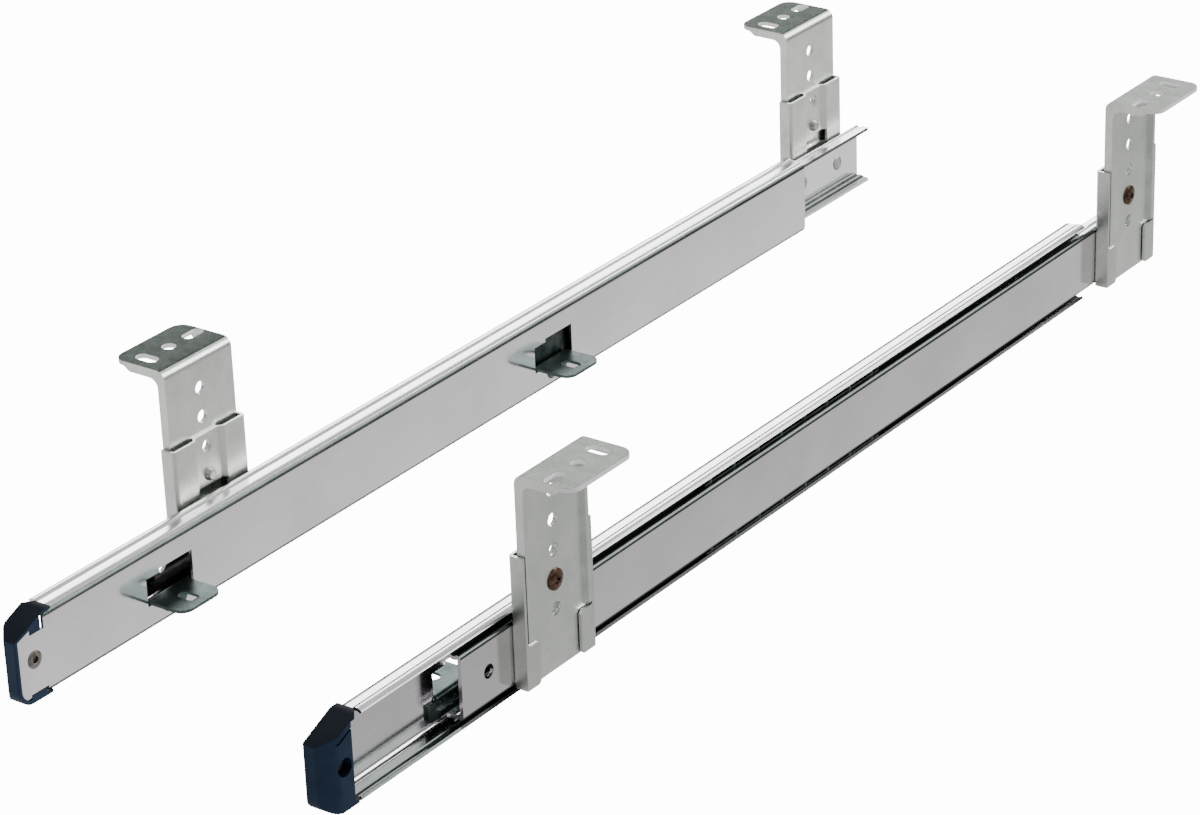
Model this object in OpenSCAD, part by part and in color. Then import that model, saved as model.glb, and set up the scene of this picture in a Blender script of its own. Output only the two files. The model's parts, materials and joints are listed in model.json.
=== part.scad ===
// Pair of two-member ball bearing drawer slides hung under a desk on height-adjustable brackets.
// X points right, Y to the back, Z up. The origin is in the plane of the desk's underside,
// midway between the four middle screw holes of the hangers.

/* [Slide] */
// Distance between the inner faces of the two drawer members
slide_gap = 105.5; // [60:0.5:600]
// Length of a drawer member
drawer_len = 410; // [380:1:600]
// Length of a cabinet member
cabinet_len = 400; // [395:1:600]
// Height of a drawer member over its flanges
slide_h = 27; // [26:0.5:36]
// Thickness of a slide, drawer member and cabinet member together
slide_t = 9.2; // [9:0.1:14]
// Sheet thickness of the drawer members
drawer_sheet = 1.0; // [0.8:0.05:1.1]
// Sheet thickness of the cabinet members
cabinet_sheet = 1.2; // [0.9:0.05:1.3]
// Outer bend radius of the drawer members
drawer_bend = 2.8; // [2:0.1:3.5]
// Outer bend radius of the cabinet members
cabinet_bend = 1.5; // [1.4:0.05:1.7]
// How far the drawer members stand pulled out
pulled_out = 47.5; // [10:0.5:90]
// Distance from the cabinet member's front end to its side screw hole
side_hole = 12.5; // [8:0.5:16]

/* [Balls and cage] */
// Diameter of a ball
ball_d = 3; // [2.6:0.1:3.4]
// Gap between the flanges of the two members
rail_gap = 2; // [1.8:0.05:2.2]
// Distance from the ball centres to the outer face of the cabinet member
ball_inset = 2.5; // [2.4:0.05:2.8]
// Balls in one row
balls_in_row = 8; // [4:1:10]
// Distance between two balls of a row
ball_pitch = 13; // [8:0.5:14]
// Sheet thickness of the cage
cage_sheet = 0.6; // [0.4:0.05:0.7]

/* [Hangers] */
// Height of the desk's underside above the slide's centre line
desk_z = 57.5; // [54:0.5:90]
// Distance from the cabinet member's front end to the front hanger's middle
front_setback = 40; // [36:0.5:80]
// Distance from the cabinet member's rear end to the rear hanger's middle
rear_setback = 25; // [20:0.5:40]
// Width of a hanger
hanger_w = 30.5; // [28:0.5:34]
// Reach of a hanger's top flange from its plate's inner face
hanger_reach = 20.4; // [19:0.2:30]
// Sheet thickness of a hanger
hanger_sheet = 1.5; // [1.2:0.1:2]
// Depth of a hanger's stiffening lips over the sheet
hanger_lip = 3.0; // [2.4:0.1:4.5]
// Corner radius of a hanger's top flange
hanger_corner = 4.5; // [2:0.5:6]
// Diameter of the screw holes in the hangers
hole_d = 4.5; // [3.5:0.1:5]
// Length of the slots in a hanger's top flange
slot_len = 8; // [6:0.5:9]
// Width of the slots in a hanger's top flange
slot_w = 4.2; // [3.5:0.1:4.6]
// Distance from the plate's inner face to the row of flange holes
hole_reach = 11.3; // [10.5:0.1:12.5]
// Distance between two steps of the height adjustment
height_step = 9.5; // [8:0.25:10]
// Number of height holes in a hanger
height_holes = 5; // [3:1:5]

/* [Saddles] */
// Sheet thickness of a saddle
saddle_sheet = 1.0; // [0.8:0.05:1.2]
// Height of a saddle's top edge above the slide's centre line
saddle_top = 32; // [31:0.5:36]
// Width of the raised strip in the middle of a saddle
strip_w = 10.6; // [9:0.2:13]
// Height of the raised strip over the saddle's side panels
strip_lift = 1.4; // [0.6:0.05:1.8]
// Width of the guide tabs that fold over a hanger's plate
guide_w = 6.5; // [4.5:0.5:9]
// Height of the guide tabs' top edges above the slide's centre line
guide_top = 3.5; // [1:0.5:6]
// Diameter of a height screw
screw_d = 4; // [3:0.1:4.2]
// Diameter of a height screw's head
head_d = 6.8; // [5.5:0.1:8]
// Diameter of a saddle rivet
rivet_d = 3.2; // [2.4:0.1:4]

/* [Tray lugs] */
// Distance from the drawer member's front end to the first lug
lug_front = 55; // [40:1:80]
// Distance between the two lugs of a drawer member
lug_pitch = 192.5; // [120:0.5:240]
// Width of a lug's ledge along the slide
lug_w = 18; // [16:0.5:24]
// Diameter of a lug rivet
lug_rivet_d = 3; // [2.4:0.1:3.4]
// Reach of a lug's ledge towards the tray
lug_reach = 13.8; // [12:0.2:18]
// Sheet thickness of a lug
lug_sheet = 1.0; // [0.8:0.05:1.1]
// Height of a ledge's top face above the slide's centre line
ledge_z = -3.3; // [-4:0.1:-2.5]
// Length of a ledge's screw slot, across the slide
tray_slot_len = 7; // [5.5:0.1:8]
// Width of a ledge's screw slot
tray_slot_w = 4.2; // [3.5:0.1:5]
// Distance from the drawer member's inner face to the middle of the screw slot
tray_slot_reach = 7.7; // [7:0.1:8]

/* [End caps] */
// How far a cap stands out in front of the drawer member
cap_nose = 1.3; // [0.8:0.1:3]
// Depth of a cap's body behind the drawer member's front end
cap_depth = 9.7; // [9.2:0.1:12]
// Length of a cap's top wing behind the drawer member's front end
cap_wing = 14.5; // [12.5:0.5:18]
// Diameter of the rivet that holds a cap
cap_rivet_d = 4; // [3:0.1:5]

/* [Hidden] */
$fn = 48;
half_h = slide_h / 2;
slip = 0.05;
seat_gap = 0.3;
lip_angle = 50;

ball_u = slide_t - ball_inset;
ball_z = half_h - drawer_sheet - rail_gap / 2;
race_r = ball_d / 2 + slip;
cabinet_half = half_h - drawer_sheet - rail_gap;
flange_tip = drawer_sheet + 2.2;
cage_u = flange_tip - seat_gap - cage_sheet;
cage_edge = slide_t - 1;
cage_bend = 1.2;
cage_len = (balls_in_row - 1) * ball_pitch + ball_d + 4;

cap_back = cap_depth + seat_gap;
cabinet_y = cap_back + pulled_out;
stop_len = 1.5;
front_stop_y = cabinet_y + 0.8;
rear_stop_y = drawer_len - 10 - stop_len;
cage_front_open = front_stop_y + stop_len + seat_gap;
cage_back_open = cage_front_open + cage_len;
travel_out = rear_stop_y - seat_gap - cage_back_open;
cage_y = cage_front_open + travel_out / 2;

plate_u = slide_t + saddle_sheet + strip_lift;
front_hanger_y = cabinet_y + front_setback;
rear_hanger_y = cabinet_y + cabinet_len - rear_setback;
desk_y = (front_hanger_y + rear_hanger_y) / 2;
hanger_bend = 3;
first_hole_z = 8.7;
screw_z = first_hole_z + height_step;
long_slot_y = -10.9;
cross_slot_y = 9.8;
hole_slip = 0.1;
rivet_y = 11.5;
rivet_head = 0.5;
saddle_bend = 1.2;
wall_gap = 0.25;
wall_out = hanger_sheet + seat_gap + saddle_sheet;
lip_low = guide_top + 0.5;
saddle_half = hanger_w / 2 + wall_gap + saddle_sheet;

window_front = -0.3;
window_len = lug_w + 2.5;
window_low = ledge_z - lug_sheet - 0.8;
window_high = ledge_z + 8.5;
leg_front = -4;
leg_low = drawer_bend - half_h + 0.2;
lug_rivet_y = [lug_w - 9.5, lug_w - 3.5];
lug_rivet_z = (window_low + leg_low) / 2;

chamfer_z = half_h - 5.2;
nose_rise = half_h - 0.5;
bottom_wing = cap_wing - 2;
cap_rivet_y = 6.2;
cap_w = slide_t - 0.6;

zinc = "#b9bcba";
pale_zinc = "#c9ccca";
dark_zinc = "#44504f";
nylon_black = "#1b2530";
brass = "#8a6a4d";
steel = "#d4d6d8";

// Points of an arc, from angle a0 to angle a1
function arc(centre, r, a0, a1, steps = 8) =
    [for (i = [0:steps]) let (a = a0 + (a1 - a0) * i / steps)
        [centre[0] + r * cos(a), centre[1] + r * sin(a)]];

// A section in X and Z, run along Y
module run_y(y0, len) {
    translate([0, y0 + len, 0]) rotate([90, 0, 0]) linear_extrude(len) children();
}

// An outline in Y and Z, given a thickness along X
module slab_x(x0, thickness) {
    translate([x0, 0, 0]) rotate([90, 0, 90]) linear_extrude(thickness) children();
}

// A round bar or hole along X
module bar_x(x0, x1, d) {
    translate([x0, 0, 0]) rotate([0, 90, 0]) cylinder(h = x1 - x0, d = d);
}

module top_and_bottom() {
    children();
    mirror([0, 1]) children();
}

// A quarter of a bend, opening towards the corner (sx, sy)
module bend_2d(centre, r, sheet, sx, sy) {
    translate(centre) intersection() {
        difference() {
            circle(r);
            circle(r - sheet);
        }
        scale_to = [sx * r, sy * r];
        translate([min(0, scale_to[0]), min(0, scale_to[1])]) square(r);
    }
}

// A rounded slot through a sheet, along X or along Y
module slot_z(len, width, across) {
    turn = across ? 0 : 90;
    rotate([0, 0, turn]) {
        for (end = [-1, 1])
            translate([end * (len - width) / 2, 0, -10]) cylinder(h = 20, d = width);
        translate([-(len - width) / 2, -width / 2, -10]) cube([len - width, width, 20]);
    }
}

// Places a right-hand piece on its side. Its own X starts at the drawer member's inner face.
module on_side(side) {
    translate([0, -desk_y, -desk_z])
        if (side == "right")
            translate([slide_gap / 2, 0, 0]) children();
        else
            mirror([1, 0, 0]) translate([slide_gap / 2, 0, 0]) children();
}

// Places a hanger or saddle: both sides use the same piece, turned round on the left
module on_hanger(side, y) {
    translate([0, -desk_y, -desk_z])
        if (side == "right")
            translate([slide_gap / 2 + plate_u, y, 0]) children();
        else
            translate([-slide_gap / 2 - plate_u, y, 0]) rotate([0, 0, 180]) children();
}

module at_all_hangers() {
    for (side = ["left", "right"])
        for (y = [front_hanger_y, rear_hanger_y])
            on_hanger(side, y) children();
}

// Drawer member

module drawer_section() {
    flange_low = half_h - drawer_sheet;
    far = 2 * ball_d;
    top_and_bottom() {
        square([drawer_sheet, half_h - drawer_bend]);
        bend_2d([drawer_bend, half_h - drawer_bend], drawer_bend, drawer_sheet, -1, 1);
        difference() {
            union() {
                translate([drawer_bend, flange_low]) square([ball_u - drawer_bend, drawer_sheet]);
                intersection() {
                    translate([ball_u, ball_z]) circle(race_r + drawer_sheet);
                    polygon([
                        [ball_u - far, flange_low], [ball_u, flange_low], [ball_u, ball_z],
                        [ball_u + far * sin(lip_angle), ball_z + far * cos(lip_angle)],
                        [ball_u, ball_z + far], [ball_u - far, ball_z + far]
                    ]);
                }
            }
            translate([ball_u, ball_z]) circle(race_r);
        }
    }
}

// Outline of the drawer member's web in front of the cap's wing, in Y and Z
module web_nose_2d() {
    corner = 4;
    low = -half_h + 1.5;
    difference() {
        polygon(concat(
            [[0, chamfer_z - 0.3]],
            arc([corner, low + corner], corner, 180, 270),
            [[bottom_wing, low], [bottom_wing, -half_h - 2], [cap_wing + 1, -half_h - 2],
             [cap_wing + 1, half_h + 2], [cap_wing, half_h + 2], [cap_wing, nose_rise]]
        ));
        translate([5, chamfer_z - 0.2]) square([6, 8]);
        translate([3.6, -half_h - 4]) square([7.2, 7]);
    }
}

module drawer_member() {
    color(zinc) difference() {
        union() {
            run_y(0, drawer_len) drawer_section();
            translate([drawer_sheet - 0.2, rear_stop_y, -3])
                cube([flange_tip - drawer_sheet - 0.2, stop_len, 6]);
        }
        slab_x(-1, drawer_bend + 1) difference() {
            translate([-1, -half_h - 1]) square([cap_wing + 1, slide_h + 2]);
            web_nose_2d();
        }
        translate([drawer_sheet, -1, chamfer_z - 2]) cube([slide_t, cap_wing + 1, 12]);
        translate([drawer_sheet, -1, -chamfer_z - 10]) cube([slide_t, bottom_wing + 1, 12]);
        translate([0, cap_rivet_y, 0]) bar_x(-1, 2, cap_rivet_d + 2 * slip);
        for (y = [lug_front, lug_front + lug_pitch]) translate([0, y, 0]) {
            slab_x(-1, drawer_sheet + 2) window_2d();
            at_lug_rivets() bar_x(-1, 2, lug_rivet_d + 2 * slip);
        }
    }
}

// Window in the web that a lug's ledge comes out of
module window_2d() {
    step_len = 6;
    step_h = 1.2;
    translate([window_front, window_low])
        square([window_len, window_high - window_low - step_h]);
    translate([window_front + step_len, window_low])
        square([window_len - step_len, window_high - window_low]);
}

// Tray lug: its ledge comes out of the window and its leg is riveted to the web below

module at_lug_rivets() {
    for (y = lug_rivet_y) translate([0, y, lug_rivet_z]) children();
}

module lug() {
    outer = 1.5;
    leg_u = drawer_sheet;
    bend_u = leg_u + lug_sheet - outer;
    corner = 4;
    color(dark_zinc) difference() {
        union() {
            run_y(0, lug_w) {
                translate([-lug_reach, ledge_z - lug_sheet])
                    square([lug_reach + bend_u, lug_sheet]);
                bend_2d([bend_u, ledge_z - outer], outer, lug_sheet, 1, 1);
            }
            translate([leg_u, leg_front, leg_low])
                cube([lug_sheet, lug_w - leg_front, ledge_z - outer - leg_low]);
        }
        for (end = [0, 1]) translate([-lug_reach + corner, end * lug_w, ledge_z - lug_sheet - 1])
            mirror([0, end, 0]) difference() {
                translate([-corner - 1, -1, 0]) cube([corner + 1, corner + 1, lug_sheet + 2]);
                translate([0, corner, -1]) cylinder(h = lug_sheet + 4, r = corner);
            }
        slab_x(leg_u - 0.5, lug_sheet + 1) polygon([
            [leg_front - 1, leg_low - 1], [leg_front + 2, leg_low - 1], [leg_front - 1, leg_low + 2]
        ]);
        translate([-tray_slot_reach, lug_w / 2, ledge_z]) slot_z(tray_slot_len, tray_slot_w, true);
        at_lug_rivets() bar_x(0, 4, lug_rivet_d + 2 * slip);
    }
}

module lug_rivets() {
    color(dark_zinc) for (y = [lug_front, lug_front + lug_pitch])
        translate([0, y, 0]) at_lug_rivets() {
            bar_x(-0.1, drawer_sheet + lug_sheet, lug_rivet_d);
            bar_x(-rivet_head, 0, lug_rivet_d + 1.6);
        }
}

// End cap

module cap_side_2d() {
    corner = 5.5;
    polygon(concat(
        arc([corner - cap_nose, corner - half_h], corner, 180, 270),
        [[bottom_wing, -half_h], [bottom_wing, 1 - half_h], [cap_depth, 1 - half_h],
         [cap_depth, half_h - 1], [cap_wing, half_h - 1], [cap_wing, half_h + 0.2],
         [cap_depth + 1.8, half_h + 0.2], [-cap_nose, chamfer_z]]
    ));
}

module cap_plan_2d() {
    polygon([
        [0, -cap_nose + 0.5], [0.5, -cap_nose], [4.3, -cap_nose], [cap_w - 0.8, 2.6],
        [cap_w, 4.2], [cap_w, cap_wing - 3.2], [cap_w - 2.6, cap_wing], [0, cap_wing]
    ]);
}

module end_cap() {
    groove = 0.6;
    color(nylon_black) difference() {
        intersection() {
            slab_x(0, cap_w) cap_side_2d();
            translate([0, 0, -slide_h]) linear_extrude(2 * slide_h) cap_plan_2d();
        }
        slab_x(-1, 1 + drawer_sheet) web_nose_2d();
        translate([0, cap_rivet_y, 0]) bar_x(-1, slide_t, cap_rivet_d + 2 * slip);
        translate([0, cap_rivet_y, 0]) bar_x(cap_w - 3, slide_t, cap_rivet_d + 1.6);
        translate([cap_w, -cap_nose, chamfer_z - 2.4]) rotate([atan(5.4 / 12.8), 0, 0])
            translate([-groove, -2, -groove / 2]) cube([2 * groove, 20, groove]);
    }
}

module cap_rivet() {
    color(brass) translate([0, cap_rivet_y, 0]) {
        bar_x(-0.1, cap_w - 3.4, cap_rivet_d);
        bar_x(-rivet_head, 0, cap_rivet_d + 1.6);
    }
}

// Cabinet member

module cabinet_section() {
    flange_low = cabinet_half - cabinet_sheet;
    bend_u = slide_t - cabinet_bend;
    top_and_bottom() {
        translate([slide_t - cabinet_sheet, 0])
            square([cabinet_sheet, cabinet_half - cabinet_bend]);
        bend_2d([bend_u, cabinet_half - cabinet_bend], cabinet_bend, cabinet_sheet, 1, 1);
        difference() {
            union() {
                translate([flange_tip, flange_low])
                    square([bend_u - flange_tip, cabinet_sheet]);
                intersection() {
                    translate([ball_u, ball_z]) circle(race_r + cabinet_sheet);
                    translate([flange_tip, 0])
                        square([slide_t - cabinet_sheet - flange_tip, flange_low + 0.1]);
                }
            }
            translate([ball_u, ball_z]) circle(race_r);
        }
    }
}

module cabinet_member() {
    color(zinc) difference() {
        union() {
            run_y(cabinet_y, cabinet_len) cabinet_section();
            for (side = [0, 1]) mirror([0, 0, side])
                translate([flange_tip + 0.4, front_stop_y, cabinet_half - 0.2])
                    cube([1.6, stop_len, rail_gap - 0.4]);
        }
        translate([0, cabinet_y + side_hole, 0]) bar_x(slide_t - 3, slide_t + 1, hole_d);
        for (y = [front_hanger_y, rear_hanger_y], step = [-rivet_y, rivet_y])
            translate([0, y + step, 0]) bar_x(slide_t - 3, slide_t + 1, rivet_d + 2 * slip);
    }
}

// Ball cage and balls

module cage_section() {
    out = ball_z + cage_sheet / 2;
    top_and_bottom() {
        translate([cage_u, 0]) square([cage_sheet, out - cage_bend]);
        bend_2d([cage_u + cage_bend, out - cage_bend], cage_bend, cage_sheet, -1, 1);
        translate([cage_u + cage_bend, out - cage_sheet])
            square([cage_edge - cage_u - cage_bend, cage_sheet]);
    }
}

module at_balls() {
    for (i = [0:balls_in_row - 1])
        translate([ball_u, cage_y + cage_len / 2 + (i - (balls_in_row - 1) / 2) * ball_pitch, 0])
            children();
}

module ball_cage() {
    color(steel) difference() {
        run_y(cage_y, cage_len) cage_section();
        at_balls() for (end = [0, 1]) mirror([0, 0, end])
            translate([0, 0, ball_z - 1]) cylinder(h = 2, d = ball_d + 4 * slip);
    }
}

module ball_row(sign) {
    color(steel) at_balls() translate([0, 0, sign * ball_z]) sphere(d = ball_d);
}

// Hanger: a plate with a top flange and lips round its edges. Its X starts at the plate's inner face.

module hanger_outer_2d() {
    union() {
        translate([0, -cabinet_half]) square([desk_z, desk_z + cabinet_half - hanger_bend]);
        translate([hanger_bend, -cabinet_half]) square([desk_z, desk_z + cabinet_half]);
        translate([hanger_bend, desk_z - hanger_bend]) circle(hanger_bend);
    }
}

module hanger_sheet_2d() {
    translate([0, -cabinet_half])
        square([hanger_sheet, desk_z + cabinet_half - hanger_bend]);
    bend_2d([hanger_bend, desk_z - hanger_bend], hanger_bend, hanger_sheet, -1, 1);
    translate([hanger_bend, desk_z - hanger_sheet])
        square([hanger_reach - hanger_bend, hanger_sheet]);
}

module hanger_lip_2d() {
    lip_end = hanger_reach - hanger_corner;
    intersection() {
        hanger_outer_2d();
        polygon(concat(
            [[0, lip_low], [hanger_lip - 0.8, lip_low], [hanger_lip, lip_low + 0.8]],
            arc([hanger_lip + 3, desk_z - hanger_lip - 3], 3, 180, 90),
            [[lip_end - 2, desk_z - hanger_lip], [lip_end, desk_z - hanger_sheet],
             [lip_end, desk_z], [0, desk_z]]
        ));
    }
}

module hanger() {
    half_w = hanger_w / 2;
    color(pale_zinc) difference() {
        union() {
            run_y(-half_w, hanger_w) hanger_sheet_2d();
            for (y = [-half_w, half_w - hanger_sheet])
                run_y(y, hanger_sheet) hanger_lip_2d();
        }
        for (end = [0, 1]) mirror([0, end, 0])
            translate([hanger_reach - hanger_corner, half_w - hanger_corner, desk_z - 5])
                difference() {
                    cube([hanger_corner + 1, hanger_corner + 1, 10]);
                    translate([0, 0, -1]) cylinder(h = 12, r = hanger_corner);
                }
        translate([hole_reach, 0, desk_z - 5]) cylinder(h = 10, d = hole_d);
        translate([hole_reach, long_slot_y, desk_z]) slot_z(slot_len, slot_w, false);
        translate([hole_reach, cross_slot_y, desk_z]) slot_z(slot_len, slot_w, true);
        for (i = [0:height_holes - 1])
            translate([0, 0, first_hole_z + i * height_step])
                bar_x(-1, hanger_sheet + 1, screw_d + 2 * hole_slip);
    }
}

// Saddle: joins the cabinet member to a hanger and folds round the hanger's edges.
// The hanger's lips end above the guide tabs, so a hanger can only be moved up from here.
// Its X starts at the hanger plate's inner face.

module saddle_plan_2d() {
    back = -strip_lift - saddle_sheet;
    half_w = saddle_half;
    half_strip = strip_w / 2;
    inner_bend = saddle_bend - saddle_sheet;
    for (end = [0, 1]) mirror([0, end])
        polygon(concat(
            [[-saddle_sheet, -0.01], [0, -0.01], [0, half_strip],
             [-strip_lift, half_strip + strip_lift]],
            arc([back + saddle_bend, half_w - saddle_bend], inner_bend, 180, 90, 4),
            [[wall_out, half_w - saddle_sheet], [wall_out, half_w]],
            arc([back + saddle_bend, half_w - saddle_bend], saddle_bend, 90, 180),
            [[back, half_strip + strip_lift], [-saddle_sheet, half_strip]]
        ));
}

module saddle() {
    half_w = saddle_half;
    back = -strip_lift - saddle_sheet;
    foot_gap_w = strip_w + 2 * strip_lift + 0.4;
    tab_inner = half_w - guide_w;
    color(pale_zinc) difference() {
        union() {
            translate([0, 0, -cabinet_half])
                linear_extrude(saddle_top + cabinet_half) saddle_plan_2d();
            for (end = [0, 1]) mirror([0, end, 0])
                slab_x(wall_out - saddle_sheet, saddle_sheet) polygon([
                    [tab_inner, 0.8 - cabinet_half], [tab_inner + 0.8, -cabinet_half],
                    [half_w, -cabinet_half], [half_w, guide_top], [tab_inner + 1, guide_top],
                    [tab_inner, guide_top - 1]
                ]);
        }
        translate([0, 0, screw_z]) bar_x(back - 1, 1, screw_d + 2 * slip);
        translate([0, 0, screw_z + height_step]) bar_x(back - 1, 1, screw_d + 2 * hole_slip);
        slab_x(back - 1, 2 - back) translate([-foot_gap_w / 2, cabinet_half])
            square([foot_gap_w, 4.4]);
        for (y = [-rivet_y, rivet_y])
            translate([0, y, 0]) bar_x(back - 1, 0.5, rivet_d + 2 * slip);
    }
}

module height_screw() {
    recess = 1;
    rim_h = 0.6;
    head_h = 1.4;
    translate([0, 0, screw_z]) {
        bar_x(-saddle_sheet - 1.2, hanger_sheet + 0.2, screw_d);
        difference() {
            union() {
                bar_x(hanger_sheet, hanger_sheet + rim_h, head_d);
                translate([hanger_sheet + rim_h, 0, 0]) rotate([0, 90, 0])
                    cylinder(h = head_h - rim_h, d1 = head_d, d2 = head_d - 2.4);
            }
            for (turn = [0, 90]) rotate([turn, 0, 0])
                translate([hanger_sheet + head_h - 0.9, -1.6, -recess / 2])
                    cube([2, 3.2, recess]);
        }
    }
}

module saddle_rivet() {
    web_in = -strip_lift - saddle_sheet - cabinet_sheet;
    bar_x(web_in - 0.1, -strip_lift + 0.1, rivet_d);
    bar_x(web_in - 0.8, web_in, rivet_d + 2.4);
    bar_x(-strip_lift, -strip_lift + rivet_head, rivet_d + 2.4);
}

module height_screws() {
    color(brass) at_all_hangers() height_screw();
}

module saddle_rivets() {
    color(steel) at_all_hangers()
        for (y = [-rivet_y, rivet_y]) translate([0, y, 0]) saddle_rivet();
}

on_hanger("left", front_hanger_y) hanger();  // left_front_hanger
on_hanger("left", rear_hanger_y) hanger();  // left_rear_hanger
on_hanger("right", front_hanger_y) hanger();  // right_front_hanger
on_hanger("right", rear_hanger_y) hanger();  // right_rear_hanger
on_hanger("left", front_hanger_y) saddle();  // left_front_saddle
on_hanger("left", rear_hanger_y) saddle();  // left_rear_saddle
on_hanger("right", front_hanger_y) saddle();  // right_front_saddle
on_hanger("right", rear_hanger_y) saddle();  // right_rear_saddle
on_side("left") cabinet_member();  // left_cabinet_member
on_side("right") cabinet_member();  // right_cabinet_member
height_screws();
saddle_rivets();
on_side("left") drawer_member();  // left_drawer_member
on_side("left") end_cap();  // left_end_cap
on_side("left") cap_rivet();  // left_cap_rivet
on_side("left") translate([0, lug_front, 0]) lug();  // left_front_lug
on_side("left") translate([0, lug_front + lug_pitch, 0]) lug();  // left_rear_lug
on_side("left") lug_rivets();  // left_lug_rivets
on_side("left") ball_cage();  // left_ball_cage
on_side("left") ball_row(1);  // left_upper_balls
on_side("left") ball_row(-1);  // left_lower_balls
on_side("right") drawer_member();  // right_drawer_member
on_side("right") end_cap();  // right_end_cap
on_side("right") cap_rivet();  // right_cap_rivet
on_side("right") translate([0, lug_front, 0]) lug();  // right_front_lug
on_side("right") translate([0, lug_front + lug_pitch, 0]) lug();  // right_rear_lug
on_side("right") lug_rivets();  // right_lug_rivets
on_side("right") ball_cage();  // right_ball_cage
on_side("right") ball_row(1);  // right_upper_balls
on_side("right") ball_row(-1);  // right_lower_balls
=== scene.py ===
import json
import math

import bmesh
import bpy
from mathutils import Matrix, Vector


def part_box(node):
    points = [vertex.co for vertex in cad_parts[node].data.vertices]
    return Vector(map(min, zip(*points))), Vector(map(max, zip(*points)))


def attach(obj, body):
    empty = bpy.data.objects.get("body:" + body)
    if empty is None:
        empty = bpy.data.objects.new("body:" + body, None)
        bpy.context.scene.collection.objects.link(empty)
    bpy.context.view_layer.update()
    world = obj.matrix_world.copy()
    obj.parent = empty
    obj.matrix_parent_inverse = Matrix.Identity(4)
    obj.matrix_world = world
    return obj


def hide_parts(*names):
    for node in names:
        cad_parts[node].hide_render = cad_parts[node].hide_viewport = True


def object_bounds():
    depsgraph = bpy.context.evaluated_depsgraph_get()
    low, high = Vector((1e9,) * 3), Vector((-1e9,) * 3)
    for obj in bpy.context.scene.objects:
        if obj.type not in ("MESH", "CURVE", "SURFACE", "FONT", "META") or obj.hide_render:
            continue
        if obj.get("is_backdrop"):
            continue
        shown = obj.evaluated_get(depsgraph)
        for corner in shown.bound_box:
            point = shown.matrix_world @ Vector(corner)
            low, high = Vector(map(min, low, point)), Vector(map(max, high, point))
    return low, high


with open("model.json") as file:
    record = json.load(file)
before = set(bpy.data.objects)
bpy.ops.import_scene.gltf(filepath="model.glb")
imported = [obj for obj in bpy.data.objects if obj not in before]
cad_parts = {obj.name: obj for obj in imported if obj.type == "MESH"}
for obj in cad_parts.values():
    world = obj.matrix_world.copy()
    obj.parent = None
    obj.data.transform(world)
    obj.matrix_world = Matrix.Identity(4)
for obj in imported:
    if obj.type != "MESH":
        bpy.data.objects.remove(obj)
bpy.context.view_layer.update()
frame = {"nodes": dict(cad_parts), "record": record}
print("frame loaded:", len(frame["nodes"]), "nodes")

mm = 0.001
sides = ("left", "right")
ends = ("front", "rear")

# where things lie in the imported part, in millimetres
layout = {
    "railFace": 52.75,         # X of a drawer rail's inner face
    "slideZ": -57.5,           # centre line of a slide
    "railFront": -265.0,       # front end of the drawer rails
    "railRear": 145.0,         # rear end of the drawer rails
    "plateOuter": 13.1,        # outer face of a bracket's plate, outwards from railFace
    "panelOuter": 10.2,        # outer face of a saddle's side panels, outwards from railFace
    "screwZ": -39.3,           # height of the screws in the brackets
    "bracketY": (-167.5, 167.5),   # middles of the brackets
    "lugY": (-210.0, -17.5),       # front edges of the ledges
}

bodyOf = {}
for body, nodes in frame["record"]["behaviour"]["bodies"].items():
    for node in nodes:
        bodyOf[node] = body


def sideSign(side):
    return -1 if side == "left" else 1


# Materials

def hexColour(code):
    # sRGB hex to the linear colour that a shader takes
    parts = [int(code[i:i + 2], 16) / 255 for i in (1, 3, 5)]
    return [p / 12.92 if p <= 0.04045 else ((p + 0.055) / 1.055) ** 2.4 for p in parts] + [1.0]


def addNode(tree, kind, settings=None, links=None):
    # settings are the node's own or its sockets'; links say which node and output feed a socket
    node = tree.nodes.new(kind)
    for name, value in (settings or {}).items():
        if isinstance(name, str) and hasattr(node, name):
            setattr(node, name, value)
        else:
            node.inputs[name].default_value = value
    for name, (source, output) in (links or {}).items():
        tree.links.new(source.outputs[output], node.inputs[name])
    return node


def startMaterial(name, values):
    material = bpy.data.materials.new(name)
    material.use_nodes = True
    tree = material.node_tree
    shader = tree.nodes["Principled BSDF"]
    for socket, value in values.items():
        shader.inputs[socket].default_value = value
    return material, tree, shader


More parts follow.
